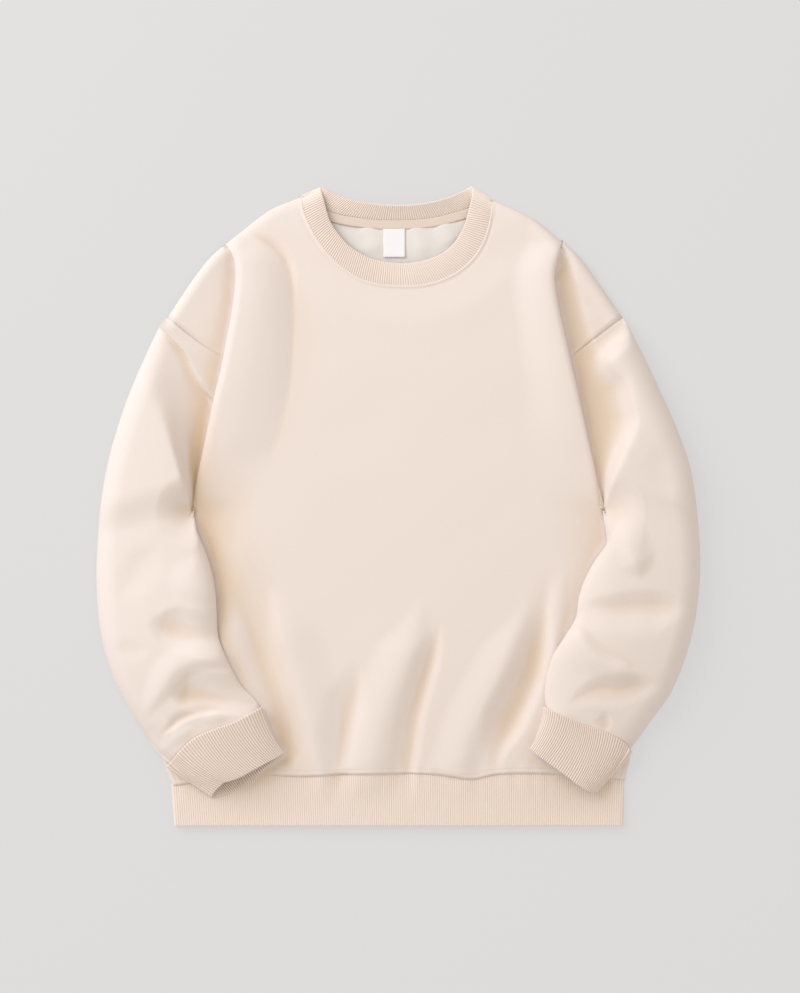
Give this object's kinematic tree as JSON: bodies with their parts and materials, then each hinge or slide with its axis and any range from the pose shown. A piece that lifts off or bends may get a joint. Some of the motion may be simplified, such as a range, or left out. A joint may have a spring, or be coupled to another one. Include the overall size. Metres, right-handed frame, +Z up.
{
  "type": "crewneck sweatshirt laid flat",
  "caption": "Oversized crewneck sweatshirt with dropped shoulders, laid flat with both arms folded in over the sides; ribbed collar, cuffs and hem band.",
  "frame": {"origin": "on the surface it lies on, under the middle of its outline", "axes": "+Y toward the neck, +Z up off the surface, +X toward the wearer's left arm"},
  "size_m": [0.6632, 0.7032, 0.0369],
  "materials": {
    "fleece": "soft matte cream jersey face of a fleece",
    "fleece_inside": "soft matte off-white brushed inside of the fleece",
    "rib": "matte cream rib knit",
    "tape": "matte beige jersey tape",
    "label": "smooth white woven label, bare"
  },
  "bodies": {
    "root": {"front_panel": "fleece", "back_panel": "fleece_inside", "sleeve_right": "fleece", "sleeve_left": "fleece", "cuff_right": "rib", "cuff_left": "rib", "hem_band": "rib", "collar": "rib", "neck_tape": "tape", "neck_label": "label"}
  },
  "joints": []
}
